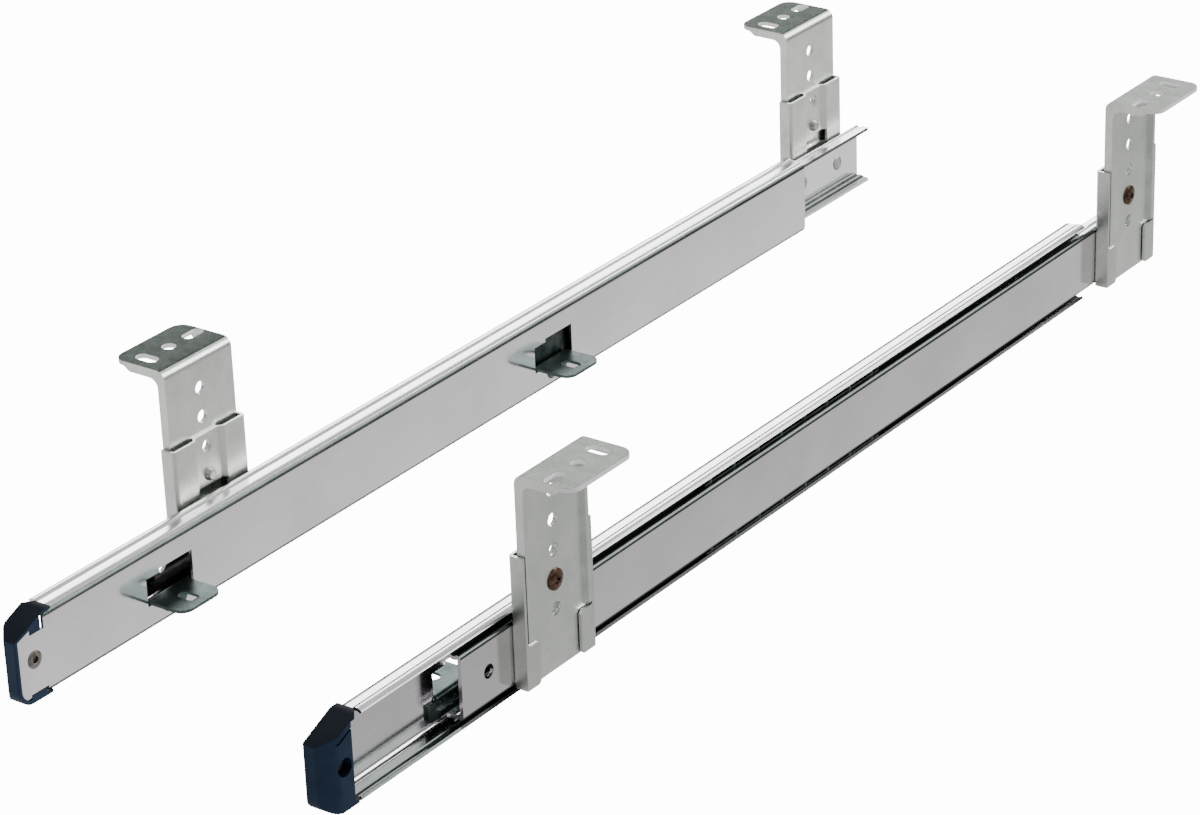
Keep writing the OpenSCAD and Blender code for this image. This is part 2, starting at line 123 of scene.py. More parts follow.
# What changes from one zinc finish to the next: two tones, the size of the cloudy patches, how
# dull it is, and the size and depth of its lines. Sizes are in millimetres, and lines that are
# too fine to show are drawn as coarse as they need to show.
zincFinishes = {
    # bright plated cold rolled strip: smooth light grey with faint lines along the slide
    "rail": {
        "light": "#e4e0e3", "dark": "#d8d4d7", "cloud": 30, "roughness": (0.1, 0.16),
        "grain": (0.55, 45, 0.55), "relief": 0.003, "strength": 0.2,
    },
    # the same strip a shade brighter: painted light on the cabinet rail's web behind the front
    # bracket
    "cabinet": {
        "light": "#f0ecef", "dark": "#e4e0e3", "cloud": 30, "roughness": (0.1, 0.16),
        "grain": (0.55, 45, 0.55), "relief": 0.003, "strength": 0.2,
    },
    # lip: mid grey and a little duller; painted shade, for lip faces that turn away from the light
    "lip": {
        "light": "#9b9f9c", "dark": "#8d918e", "cloud": 12, "roughness": (0.2, 0.28),
        "grain": (0.55, 45, 0.55), "relief": 0.003, "strength": 0.2,
    },
    # flange: the lightest metal, with soft highlights; painted light, as its faces that look up are
    # painted lighter than the web, lit from above
    "flange": {
        "light": "#f3f1f3", "dark": "#eae8ea", "cloud": 30, "roughness": (0.2, 0.26),
        "grain": (0.55, 45, 0.55), "relief": 0.003, "strength": 0.2,
    },
    # tight bend: painted shade, a dark line along the rail where the bend turns from the light and
    # mirrors the dark inside of the rail
    "bend": {
        "light": "#565c5a", "dark": "#474d4b", "cloud": 12, "roughness": (0.2, 0.28),
        "grain": (0.55, 45, 0.55), "relief": 0.003, "strength": 0.2,
    },
    # the left pair's top flanges: painted shade, dark, greenish and dull, with small patches
    "leftTop": {
        "light": "#4a534d", "dark": "#363f38", "cloud": 5, "roughness": (0.56, 0.66),
        "grain": (0.6, 2.4, 0.6), "relief": 0.004, "strength": 0.2,
    },
    # the right pair's top flanges: painted shade, mid grey and satin, lighter than the left pair's
    "rightTop": {
        "light": "#7b7f7a", "dark": "#6b7068", "cloud": 7, "roughness": (0.42, 0.5),
        "grain": (0.6, 2.4, 0.6), "relief": 0.004, "strength": 0.2,
    },
    # plated pressed plate: light grey, satin, with press lines down the plate
    "bracket": {
        "light": "#e8ece6", "dark": "#d8ddd6", "cloud": 9, "roughness": (0.26, 0.36),
        "grain": (0.6, 0.6, 2.4), "relief": 0.004, "strength": 0.2,
    },
    # plated pressed saddle: as the plate, a shade darker and duller
    "saddle": {
        "light": "#e0e3dd", "dark": "#d1d5ce", "cloud": 9, "roughness": (0.34, 0.44),
        "grain": (0.7, 0.7, 3.0), "relief": 0.003, "strength": 0.15,
    },
    # sheared edges and hole walls: painted highlight, white and chalky, without the metal's shine
    "punchedEdge": {
        "light": "#ffffff", "dark": "#f8faf8", "cloud": 2, "roughness": (0.5, 0.6),
        "grain": (0.6, 0.6, 0.4), "relief": 0.004, "strength": 0.2, "metallic": 0.0,
    },
    # plated spring strip: satin; painted reflection, its dark blue-green grey standing in for the
    # dark that the ledges mirror
    "lug": {
        "light": "#586664", "dark": "#3e4a49", "cloud": 6, "roughness": (0.32, 0.42),
        "grain": (0.5, 0.5, 0.5), "relief": 0.003, "strength": 0.15,
    },
}


def zincPlate(name, finish):
    # zinc plated steel sheet: satin grey metal with fine rolling or press lines and soft clouds
    material, tree, shader = startMaterial(name, {"Metallic": finish.get("metallic", 1.0)})
    coords = addNode(tree, "ShaderNodeTexCoord")
    stretched = addNode(tree, "ShaderNodeMapping",
                        {"Scale": [1000 / step for step in finish["grain"]]},
                        {"Vector": (coords, "Object")})
    grain = addNode(tree, "ShaderNodeTexNoise", {"Scale": 1.0, "Detail": 3.0, "Roughness": 0.6},
                    {"Vector": (stretched, "Vector")})
    cloud = addNode(tree, "ShaderNodeTexNoise",
                    {"Scale": 1000 / finish["cloud"], "Detail": 4.0, "Roughness": 0.55},
                    {"Vector": (coords, "Object")})
    both = addNode(tree, "ShaderNodeMath", {"operation": "MULTIPLY_ADD", 1: 0.35},
                   {0: (grain, 0), 2: (cloud, 0)})
    tone = addNode(tree, "ShaderNodeMapRange", {"From Min": 0.5, "From Max": 0.85},
                   {"Value": (both, 0)})
    colour = addNode(tree, "ShaderNodeMix",
                     {"data_type": "RGBA", 6: hexColour(finish["light"]),
                      7: hexColour(finish["dark"])},
                     {0: (tone, "Result")})
    low, high = finish["roughness"]
    rough = addNode(tree, "ShaderNodeMapRange",
                    {"From Min": 0.3, "From Max": 0.7, "To Min": low, "To Max": high},
                    {"Value": (grain, 0)})
    bump = addNode(tree, "ShaderNodeBump",
                   {"Strength": finish["strength"], "Distance": finish["relief"] * mm},
                   {"Height": (grain, 0)})
    tree.links.new(colour.outputs[2], shader.inputs["Base Color"])
    tree.links.new(rough.outputs["Result"], shader.inputs["Roughness"])
    tree.links.new(bump.outputs["Normal"], shader.inputs["Normal"])
    return material


railZinc = zincPlate("zincPlatedColdRolledStrip", zincFinishes["rail"])
flangePaintedLightZinc = zincPlate("zincSatinFlangePaintedLight", zincFinishes["flange"])
bendPaintedShadeZinc = zincPlate("zincBendPaintedShade", zincFinishes["bend"])
webPaintedLightZinc = zincPlate("zincStripPaintedLight", zincFinishes["cabinet"])
lipPaintedShadeZinc = zincPlate("zincLipPaintedShade", zincFinishes["lip"])
bracketZinc = zincPlate("zincPlatedPressedSteel", zincFinishes["bracket"])
leftTopPaintedShadeZinc = zincPlate("greenishFlangeTopPaintedShade", zincFinishes["leftTop"])
rightTopPaintedShadeZinc = zincPlate("greyFlangeTopPaintedShade", zincFinishes["rightTop"])
edgePaintedHighlightZinc = zincPlate("punchedEdgePaintedHighlight", zincFinishes["punchedEdge"])
saddleZinc = zincPlate("zincPlatedPressedSaddle", zincFinishes["saddle"])
lugPaintedReflectionZinc = zincPlate("springStripPaintedReflection", zincFinishes["lug"])


# painted shade: the ball tracks are painted near black, standing in for the shade in the gaps
# between the rails
trackShadeLook = {"light": "#1c2126", "dark": "#0c0f13", "smears": (700, 60, 700)}  # per metre


def paintedShadeTrack():
    # ball track painted near black as painted shade of the gaps between the rails: wet looking and
    # smeared along the track
    material, tree, shader = startMaterial("ballTrackPaintedShade", {
        "Metallic": 0.6, "Coat Weight": 0.3, "Coat Roughness": 0.2})
    coords = addNode(tree, "ShaderNodeTexCoord")
    smeared = addNode(tree, "ShaderNodeMapping", {"Scale": trackShadeLook["smears"]},
                      {"Vector": (coords, "Object")})
    smear = addNode(tree, "ShaderNodeTexNoise", {"Scale": 1.0, "Detail": 3.0},
                    {"Vector": (smeared, "Vector")})
    colour = addNode(tree, "ShaderNodeMix",
                     {"data_type": "RGBA", 6: hexColour(trackShadeLook["light"]),
                      7: hexColour(trackShadeLook["dark"])},
                     {0: (smear, 0)})
    rough = addNode(tree, "ShaderNodeMapRange", {"To Min": 0.35, "To Max": 0.6},
                    {"Value": (smear, 0)})
    tree.links.new(colour.outputs[2], shader.inputs["Base Color"])
    tree.links.new(rough.outputs["Result"], shader.inputs["Roughness"])
    return material


trackPaintedShade = paintedShadeTrack()


# the tones of a cap, and the size in millimetres of the mould's grain and of the flow patches
nylonLook = {
    "sides": ("#1b2739", "#2a3a50"),
    # painted shade: the sloping top and upper edges are painted near black, as they face the dark
    # rim of the studio
    "top": ("#0a0f18", "#131a26"),     # the sloping top and the upper edges
    "grain": 0.35, "grainDepth": 0.03, "flow": 6,
}


def mouldedNylon(name, light, dark):
    # injection moulded black nylon: dark blue-black, a spark-eroded fine grain, soft highlights
    material, tree, shader = startMaterial(name, {
        "Metallic": 0.0, "IOR": 1.53, "Specular IOR Level": 0.08})
    coords = addNode(tree, "ShaderNodeTexCoord")
    grain = addNode(tree, "ShaderNodeTexNoise",
                    {"Scale": 1000 / nylonLook["grain"], "Detail": 2.0, "Roughness": 0.5},
                    {"Vector": (coords, "Object")})
    flow = addNode(tree, "ShaderNodeTexNoise",
                   {"Scale": 1000 / nylonLook["flow"], "Detail": 3.0},
                   {"Vector": (coords, "Object")})
    colour = addNode(tree, "ShaderNodeMix",
                     {"data_type": "RGBA", 6: hexColour(light), 7: hexColour(dark)},
                     {0: (flow, 0)})
    rough = addNode(tree, "ShaderNodeMapRange", {"To Min": 0.38, "To Max": 0.56},
                    {"Value": (grain, 0)})
    bump = addNode(tree, "ShaderNodeBump",
                   {"Strength": 0.35, "Distance": nylonLook["grainDepth"] * mm},
                   {"Height": (grain, 0)})
    tree.links.new(colour.outputs[2], shader.inputs["Base Color"])
    tree.links.new(rough.outputs["Result"], shader.inputs["Roughness"])
    tree.links.new(bump.outputs["Normal"], shader.inputs["Normal"])
    return material


capNylon = mouldedNylon("mouldedBlackNylon", *nylonLook["sides"])
capTopPaintedShadeNylon = mouldedNylon("mouldedBlackNylonTopPaintedShade", *nylonLook["top"])


# light and dark tone, size of the patches in millimetres, roughness, depth of the tool marks
smallMetals = {
    # yellow passivated steel, worn: brown with a dull shine
    "yellowPassivatedScrewSteel": ("#7d5f50", "#3f2f2a", 1.2, 0.3, 0.01),
    # zinc plated steel: light grey, satin
    "zincPlatedRivetSteel": ("#b9bcb8", "#8f958f", 1.2, 0.38, 0.02),
    # dull plated steel: warm grey, nearly matt
    "dullPlatedRivetSteel": ("#8f8983", "#5d5854", 1.0, 0.42, 0.02),
    # strip steel under a film of grease: dark grey
    "greasedCageStrip": ("#4a5250", "#2a302f", 3.0, 0.36, 0.01),
    # ground bearing steel under a film of grease: dark and shiny
    "greasedBearingSteel": ("#6e7274", "#2c3032", 1.5, 0.2, 0.002),
}


def plainMetal(name):
    # small turned or headed metal part: even tone with faint patches and tool marks
    light, dark, patch, roughness, relief = smallMetals[name]
    material, tree, shader = startMaterial(name, {"Metallic": 1.0})
    coords = addNode(tree, "ShaderNodeTexCoord")
    patches = addNode(tree, "ShaderNodeTexNoise",
                      {"Scale": 1000 / patch, "Detail": 4.0, "Roughness": 0.6},
                      {"Vector": (coords, "Object")})
    tone = addNode(tree, "ShaderNodeMapRange", {"From Min": 0.35, "From Max": 0.65},
                   {"Value": (patches, 0)})
    colour = addNode(tree, "ShaderNodeMix",
                     {"data_type": "RGBA", 6: hexColour(light), 7: hexColour(dark)},
                     {0: (tone, "Result")})
    rough = addNode(tree, "ShaderNodeMapRange",
                    {"To Min": roughness - 0.06, "To Max": roughness + 0.1},
                    {"Value": (patches, 0)})
    bump = addNode(tree, "ShaderNodeBump", {"Strength": 0.3, "Distance": relief * mm},
                   {"Height": (patches, 0)})
    tree.links.new(colour.outputs[2], shader.inputs["Base Color"])
    tree.links.new(rough.outputs["Result"], shader.inputs["Roughness"])
    tree.links.new(bump.outputs["Normal"], shader.inputs["Normal"])
    return material


screwZinc = plainMetal("yellowPassivatedScrewSteel")
rivetZinc = plainMetal("zincPlatedRivetSteel")
capRivetSteel = plainMetal("dullPlatedRivetSteel")
cageZinc = plainMetal("greasedCageStrip")
ballSteel = plainMetal("greasedBearingSteel")
print("materials made:", len(bpy.data.materials))


# Building pieces

meshLook = {
    "weld": 0.002,      # points nearer than this are joined, in millimetres
    "flat": 0.6,        # faces that lean less than this are made one, in degrees
    "broken": 32,       # edges sharper than this are broken, in degrees
    "keptSharp": 34,    # edges sharper than this stay sharp in the shading, in degrees
}


def nodeCopy(node, bevel, segments=2):
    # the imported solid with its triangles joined, flat faces made whole and its sharp edges broken
    shape = bmesh.new()
    shape.from_mesh(frame["nodes"][node].data)
    bmesh.ops.remove_doubles(shape, verts=shape.verts, dist=meshLook["weld"] * mm)
    bmesh.ops.dissolve_limit(shape, angle_limit=math.radians(meshLook["flat"]),
                             verts=shape.verts, edges=shape.edges)
    sharp = [edge for edge in shape.edges if len(edge.link_faces) == 2
             and edge.calc_face_angle() > math.radians(meshLook["broken"])]
    bmesh.ops.bevel(shape, geom=sharp, offset=bevel * mm, offset_type="OFFSET", affect="EDGES",
                    segments=segments, profile=0.5, clamp_overlap=True, material=-1)
    return shape


def finishPiece(name, shape, nodes, materials):
    # a finished shape becomes a piece that rides on its nodes' body and stands in for them
    for face in shape.faces:
        face.smooth = True
    for edge in shape.edges:
        edge.smooth = (len(edge.link_faces) == 2
                       and edge.calc_face_angle() < math.radians(meshLook["keptSharp"]))
    mesh = bpy.data.meshes.new(name)
    shape.to_mesh(mesh)
    shape.free()
    piece = bpy.data.objects.new(name, mesh)
    bpy.context.scene.collection.objects.link(piece)
    for material in materials:
        mesh.materials.append(material)
    even = piece.modifiers.new("evenShading", "WEIGHTED_NORMAL")
    even.keep_sharp = True
    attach(piece, bodyOf[nodes[0]])
    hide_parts(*nodes)


def faceOffset(face):
    # a face's middle as distance outwards from the drawer rail's inner face, Y, and height from
    # the slide's centre line, and its normal with X pointing outwards, in millimetres
    centre = face.calc_center_median() / mm
    sign = 1 if centre.x > 0 else -1
    return (abs(centre.x) - layout["railFace"], centre.y, centre.z - layout["slideZ"],
            Vector((face.normal.x * sign, face.normal.y, face.normal.z)))


def paintFaces(shape, materials, pick):
    # each face takes the finish that pick names for its place and the way it looks
    for face in shape.faces:
        face.material_index = materials.index(pick(*faceOffset(face)))


# Rails

# Where the finishes lie on the rails. Distances are in millimetres, outwards from railFace or up
# and down from the centre line. The others say how far a face looks away from the centre line
# (upright), outwards or inwards: 1 is straight there, and more than 1 sets no limit.
railLook = {
    "bevel": 0.14,
    # the painted shade on the tracks begins this far behind the front end of a drawer rail
    "trackShadeFrom": 57.5,        # from the front end of a drawer rail
    "endFace": 0.5,            # faces that look more than this along the slide are cut ends
    # drawer rail: its web, its inside with the tracks, its inner and outer bends, its flanges
    "drawerWeb": 8, "drawerInside": 2.6, "insideUpright": 0.3,
    "innerBend": {"left": (0.25, 0.75), "right": (0.25, 2)}, "innerBendInwards": 0.05,
    "outerUpright": 0.3, "outerOutwards": 0.25, "outerLip": 0.55, "drawerFlange": 0.5,
    # cabinet rail: its web, its tracks, the bends at its back, the edges of its lips, its flanges
    "cabinetWeb": 7.5, "cabinetTrack": (2, 8.1), "backBend": 0.2,
    "lipEdge": 4.5, "lipInwards": 0.5, "cabinetFlange": 0.92,
}


def cutAcross(shape, y):
    # splits the faces at a place along the slide, so each part can take its own finish
    bmesh.ops.bisect_plane(shape, geom=shape.verts[:] + shape.edges[:] + shape.faces[:],
                           dist=0.001 * mm, plane_co=(0, y * mm, 0), plane_no=(0, 1, 0))


def drawerRail(side):
    # bright web, with flanges painted lighter where they face up as painted light and bends painted
    # dark as painted shade; the tracks are painted near black as shade behind the bare front end
    look = railLook
    trackShadeY = layout["railFront"] + look["trackShadeFrom"]
    bendLow, bendHigh = look["innerBend"][side]

    def pick(u, y, z, normal):
        upright = normal.z * (1 if z > 0 else -1)
        if abs(normal.y) > look["endFace"] or abs(z) < look["drawerWeb"]:
            return railZinc
        if upright < look["insideUpright"] and u > look["drawerInside"]:
            if y > trackShadeY:
                return trackPaintedShade
            # in front of the painted shade of the tracks, the insides are painted mid grey above
            # and dark below, as painted shade
            return lipPaintedShadeZinc if z > 0 else bendPaintedShadeZinc
        if bendLow < upright < bendHigh and normal.x < -look["innerBendInwards"]:
            return bendPaintedShadeZinc
        if upright > look["outerUpright"] and normal.x > look["outerOutwards"]:
            # painted shade: on the left rail the outward and upward faces of the flanges are
            # painted dark, on the right rail lighter
            if side == "left":
                return bendPaintedShadeZinc
            return lipPaintedShadeZinc if normal.x > look["outerLip"] else flangePaintedLightZinc
        return flangePaintedLightZinc if upright > look["drawerFlange"] else railZinc

    shape = nodeCopy(f"{side}_drawer_member", look["bevel"])
    cutAcross(shape, trackShadeY)
    materials = [railZinc, trackPaintedShade, flangePaintedLightZinc, bendPaintedShadeZinc, lipPaintedShadeZinc]
    paintFaces(shape, materials, pick)
    finishPiece(f"{side}DrawerRail", shape, [f"{side}_drawer_member"], materials)


def cabinetRail(side):
    # the tracks are painted near black as shade as far as the drawer rail reaches; the web is
    # painted brighter behind the front bracket as painted light, the web in front stays darker as
    # painted shade of the bracket, and the rolled edges are painted dark as shade
    look = railLook
    brightFrom = layout["bracketY"][0]
    trackLow, trackHigh = look["cabinetTrack"]

    def pick(u, y, z, normal):
        upright = normal.z * (1 if z > 0 else -1)
        if abs(normal.y) > look["endFace"]:
            return railZinc
        if abs(z) < look["cabinetWeb"]:
            # painted light behind the front bracket, painted shade of the bracket in front of it
            return webPaintedLightZinc if y > brightFrom else railZinc
        if u > trackHigh and normal.x > look["backBend"] and upright > look["backBend"]:
            return bendPaintedShadeZinc
        if y < layout["railRear"]:
            return trackPaintedShade if trackLow < u < trackHigh and upright > 0 else railZinc
        if z < 0 and upright < 0 and u < trackHigh:
            return bendPaintedShadeZinc
        if z > 0 and normal.x < -look["lipInwards"] and u < look["lipEdge"]:
            return bendPaintedShadeZinc
        return flangePaintedLightZinc if upright > look["cabinetFlange"] else railZinc

    shape = nodeCopy(f"{side}_cabinet_member", look["bevel"])
    cutAcross(shape, brightFrom)
    cutAcross(shape, layout["railRear"])
    materials = [railZinc, trackPaintedShade, flangePaintedLightZinc, bendPaintedShadeZinc, webPaintedLightZinc]
    paintFaces(shape, materials, pick)
    finishPiece(f"{side}CabinetRail", shape, [f"{side}_cabinet_member"], materials)


for side in sides:
    drawerRail(side)
    cabinetRail(side)
print("rails made")


# Brackets, saddles, lugs, cages and caps

bracketLook = {
    "bevel": 0.22,
    "topFrom": 50, "topUpright": 0.9,   # the top flange: above the slide, and looking up
    "shearedFrom": 15, "sheared": 0.5,  # its edges: outwards from railFace, and looking sideways
    "top": {"left": leftTopPaintedShadeZinc, "right": rightTopPaintedShadeZinc},
}
saddleLook = {"bevel": 0.16}
lugLook = {"bevel": 0.12}
cageLook = {"bevel": 0.06}
capLook = {"bevel": 0.4, "segments": 3, "topUpright": 0.2}


def bracket(side, end):
    # the upward faces of the top flanges are painted darker than the plates as painted shade,
    # darkest and greenest on the left pair, and duller; their sheared edges and the walls of their
    # holes are painted white as a painted highlight
    look = bracketLook
    topPaintedShadeZinc = look["top"][side]

    def pick(u, y, z, normal):
        if z < look["topFrom"]:
            return bracketZinc
        if normal.z > look["topUpright"]:
            return topPaintedShadeZinc
        if abs(normal.z) < look["sheared"] and u > look["shearedFrom"]:
            return edgePaintedHighlightZinc
        return bracketZinc

    shape = nodeCopy(f"{side}_{end}_hanger", look["bevel"])
    materials = [bracketZinc, topPaintedShadeZinc, edgePaintedHighlightZinc]
    paintFaces(shape, materials, pick)
    finishPiece(f"{side}{end.title()}Bracket", shape, [f"{side}_{end}_hanger"],
                materials)


def endCap(side):
    # painted shade: the sloping top and the upper edges are painted nearly black, darker than the
    # sides
    def pick(u, y, z, normal):
        return capTopPaintedShadeNylon if normal.z > capLook["topUpright"] else capNylon

    shape = nodeCopy(f"{side}_end_cap", capLook["bevel"], capLook["segments"])
    materials = [capNylon, capTopPaintedShadeNylon]
    paintFaces(shape, materials, pick)
    finishPiece(f"{side}EndCap", shape, [f"{side}_end_cap"], materials)


for side in sides:
    for end in ends:
        bracket(side, end)
        finishPiece(f"{side}{end.title()}Saddle",
                    nodeCopy(f"{side}_{end}_saddle", saddleLook["bevel"]),
                    [f"{side}_{end}_saddle"], [saddleZinc])
        finishPiece(f"{side}{end.title()}Lug",
                    nodeCopy(f"{side}_{end}_lug", lugLook["bevel"]),
                    [f"{side}_{end}_lug"], [lugPaintedReflectionZinc])
    finishPiece(f"{side}BallCage", nodeCopy(f"{side}_ball_cage", cageLook["bevel"]),
                [f"{side}_ball_cage"], [cageZinc])
    endCap(side)
print("brackets, saddles, lugs, cages and caps made")


# Turned and headed parts

def turned(profile, segments=40):
    # spins a half outline of (radius, height) points about Z, in millimetres
    shape = bmesh.new()
    points = [shape.verts.new((radius * mm, 0, height * mm)) for radius, height in profile]
    line = [shape.edges.new(pair) for pair in zip(points, points[1:])]
    bmesh.ops.spin(shape, geom=points + line, cent=(0, 0, 0), axis=(0, 0, 1),
                   angle=math.tau, steps=segments, use_merge=True)
    bmesh.ops.remove_doubles(shape, verts=shape.verts, dist=0.001 * mm)
    bmesh.ops.recalc_face_normals(shape, faces=shape.faces)
    return shape


def alongX(shape, sign, x, y, z):
    # turns a spun part from Z to X, facing outwards or inwards, and puts it in its place
    turn = Matrix.Rotation(math.radians(90 * sign), 4, "Y")
    bmesh.ops.transform(shape, matrix=turn, verts=shape.verts)
    bmesh.ops.translate(shape, vec=Vector((x, y, z)) * mm, verts=shape.verts)


def joined(shapes):
    # several loose shapes in one mesh
    whole = bmesh.new()
    for shape in shapes:
        part = bpy.data.meshes.new("part")
        shape.to_mesh(part)
        shape.free()
        whole.from_mesh(part)
        bpy.data.meshes.remove(part)
    return whole


def arcPoints(centreR, centreH, radius, start, stop, steps):
    # points of an arc in a half outline
    found = []
    for i in range(steps + 1):
        angle = math.radians(start + (stop - start) * i / steps)
        found.append((centreR + radius * math.cos(angle), centreH + radius * math.sin(angle)))
    return found


# sizes in millimetres; heights and depths are taken from under the head
screwLook = {
    "head": 6.8, "headHeight": 1.4, "rim": 0.45, "rimRound": 0.2,
    "shank": 4.0, "shankEnd": 3.9, "point": 0.8, "pointFrom": 3.5,  # point is a part of the core
    "neck": 0.7, "neckFull": 0.5, "neckLess": 0.05,
    "threadTo": 3.3, "threadFrom": 0.9, "pitch": 0.7, "threadDepth": 0.28,
    "crest": (0.42, 0.52),     # where a thread's crest begins and ends, as parts of the pitch
    "recess": 3.7, "recessDepth": 0.9, "recessWidth": 1.0, "recessTaper": (0.45, 0.6),
    "recessProud": 0.1,        # the recess is cut from this far above the head
    "plainBelow": 0.1,         # the shank below this is grey, the head brown
    "turned": 25,              # with its bracket's Y, how far a cross is turned, in degrees
}


def heightScrew():
    # low round head screw, its head upwards from height 0, with rolled threads on the shank below
    look = screwLook
    radius, shank = look["head"] / 2, look["shank"] / 2
    core = shank - look["threadDepth"]
    profile = [(0, -look["shankEnd"]), (core * look["point"], -look["shankEnd"]),
               (core, -look["pointFrom"])]
    height = -look["threadTo"]
    while height < -look["threadFrom"]:
        profile += [(core, height)]
        profile += [(shank, height + look["pitch"] * part) for part in look["crest"]]
        height += look["pitch"]
    neck = shank - look["neckLess"]
    profile += [(core, -look["neck"]), (neck, -look["neckFull"]), (neck, 0),
                (radius - look["rimRound"], 0)]
    profile += arcPoints(radius - look["rimRound"], look["rimRound"], look["rimRound"], -90, 0, 3)
    rise = look["headHeight"] - look["rim"]
    dome = (radius ** 2 + rise ** 2) / (2 * rise)
    start = math.degrees(math.acos(radius / dome))
    profile += arcPoints(0, look["headHeight"] - dome, dome, start, 90, 9)
    return turned(profile)


def crossRecess(top):
    # tapered cross that is cut into a screw head
    look = screwLook
    arms = []
    for turn in (0, 90):
        arm = bmesh.new()
        bmesh.ops.create_cube(arm, size=1)
        bmesh.ops.scale(arm, vec=Vector((look["recess"], look["recessWidth"],
                                         look["recessDepth"] * 2)) * mm, verts=arm.verts)
        low = [vert for vert in arm.verts if vert.co.z < 0]
        bmesh.ops.scale(arm, vec=(*look["recessTaper"], 1), verts=low)
        bmesh.ops.rotate(arm, cent=(0, 0, 0), verts=arm.verts,
                         matrix=Matrix.Rotation(math.radians(turn), 3, "Z"))
        bmesh.ops.translate(arm, vec=(0, 0, top * mm), verts=arm.verts)
        arms.append(arm)
    return arms


def looseObject(name, shape):
    mesh = bpy.data.meshes.new(name)
    shape.to_mesh(mesh)
    shape.free()
    thing = bpy.data.objects.new(name, mesh)
    bpy.context.scene.collection.objects.link(thing)
    return thing


def carved(shape, cutters):
    # a shape with others cut out of it
    block = looseObject("block", shape)
    tools = []
    for cutter in cutters:
        tool = looseObject("tool", cutter)
        cut = block.modifiers.new("cut", "BOOLEAN")
        cut.object, cut.operation, cut.solver = tool, "DIFFERENCE", "EXACT"
        tools.append(tool)
    bpy.context.view_layer.update()
    result = bpy.data.meshes.new_from_object(
        block.evaluated_get(bpy.context.evaluated_depsgraph_get()))
    made = bmesh.new()
    made.from_mesh(result)
    for thing in [block] + tools:
        bpy.data.objects.remove(thing)
    return made


screws = []
for side in sides:
    sign = sideSign(side)
    for y in layout["bracketY"]:
        screw = carved(heightScrew(),
                       crossRecess(screwLook["headHeight"] + screwLook["recessProud"]))
        for face in screw.faces:
            below = face.calc_center_median().z < -screwLook["plainBelow"] * mm
            face.material_index = 1 if below else 0
        # each cross stands at its own angle, as screws do
        bmesh.ops.rotate(screw, cent=(0, 0, 0), verts=screw.verts,
                         matrix=Matrix.Rotation(math.radians(screwLook["turned"] + y), 3, "Z"))
        alongX(screw, sign, sign * (layout["railFace"] + layout["plateOuter"]), y,
               layout["screwZ"])
        screws.append(screw)
finishPiece("heightScrews", joined(screws), ["height_screws"],
            [screwZinc, rivetZinc])


# radii, heights and lengths in millimetres; steps are distances along the slide
rivetLook = {
    "tailEdge": 0.25, "shankEdge": 0.2,  # broken edges
    "straight": 0.35, "flat": 0.25,      # parts of a head's height and radius
    "lip": 0.15, "taper": 0.9, "bottom": (0.6, 0.9),   # a hollow's rim, sides and bottom
    "saddle": {"head": 2.8, "height": 0.5, "shank": 1.6, "length": 2.2,
               "tail": 2.5, "tailHeight": 0.4, "steps": (-11.5, 11.5)},
    "lug": {"head": 2.3, "height": 0.5, "shank": 1.5, "length": 2.0,
            "steps": (8.5, 14.5), "below": 7.8},   # below the centre line of the slide
    "cap": {"head": 2.8, "height": 0.5, "shank": 2.0, "length": 6.0, "hollow": 1.1,
            "behind": 6.2},              # behind the front end of the drawer rail
}


def rivet(size):
    # head upwards from height 0, with its shank below; some have a swaged tail or a hollow head
    edge, blunt, straight = (rivetLook[part] for part in ("tailEdge", "shankEdge", "straight"))
    head, height, shank, length = size["head"], size["height"], size["shank"], size["length"]
    if "tail" in size:
        tail, end = size["tail"], -length - size["tailHeight"]
        profile = [(0, end), (tail - edge, end), (tail, end + edge), (tail, -length),
                   (shank, -length)]
    else:
        profile = [(0, -length), (shank - blunt, -length), (shank, -length + blunt)]
    profile += [(shank, 0), (head, 0), (head, height * straight)]
    for angle in (20, 40, 60):
        profile.append((head * math.cos(math.radians(angle)),
                        height * (straight + (1 - straight) * math.sin(math.radians(angle)))))
    if "hollow" in size:
        hollow, lip, (wall, middle) = size["hollow"], rivetLook["lip"], rivetLook["bottom"]
        profile += [(hollow + lip, height), (hollow, height - lip),
                    (hollow * rivetLook["taper"], -wall), (0, -middle)]
    else:
        profile += [(head * rivetLook["flat"], height), (0, height)]
    return turned(profile, 32)


rivets = []
for side in sides:
    sign = sideSign(side)
    for y in layout["bracketY"]:
        for step in rivetLook["saddle"]["steps"]:
            pin = rivet(rivetLook["saddle"])
            alongX(pin, sign, sign * (layout["railFace"] + layout["panelOuter"]), y + step,
                   layout["slideZ"])
            rivets.append(pin)
finishPiece("saddleRivets", joined(rivets), ["saddle_rivets"], [rivetZinc])

for side in sides:
    sign = sideSign(side)
    pins = []
    for y in layout["lugY"]:
        for step in rivetLook["lug"]["steps"]:
            pin = rivet(rivetLook["lug"])
            alongX(pin, -sign, sign * layout["railFace"], y + step,
                   layout["slideZ"] - rivetLook["lug"]["below"])
            pins.append(pin)
    finishPiece(f"{side}LugRivets", joined(pins), [f"{side}_lug_rivets"],
                [lugPaintedReflectionZinc])
    pin = rivet(rivetLook["cap"])
    alongX(pin, -sign, sign * layout["railFace"],
           layout["railFront"] + rivetLook["cap"]["behind"], layout["slideZ"])
    finishPiece(f"{side}CapRivet", pin, [f"{side}_cap_rivet"],
                [capRivetSteel])
print("screws and rivets made")


# Balls

# millimetres; outwards from railFace, and above or below the centre line of the slide
ballLook = {"diameter": 3.0, "count": 8, "pitch": 13.0, "outwards": 6.7, "height": 11.5}

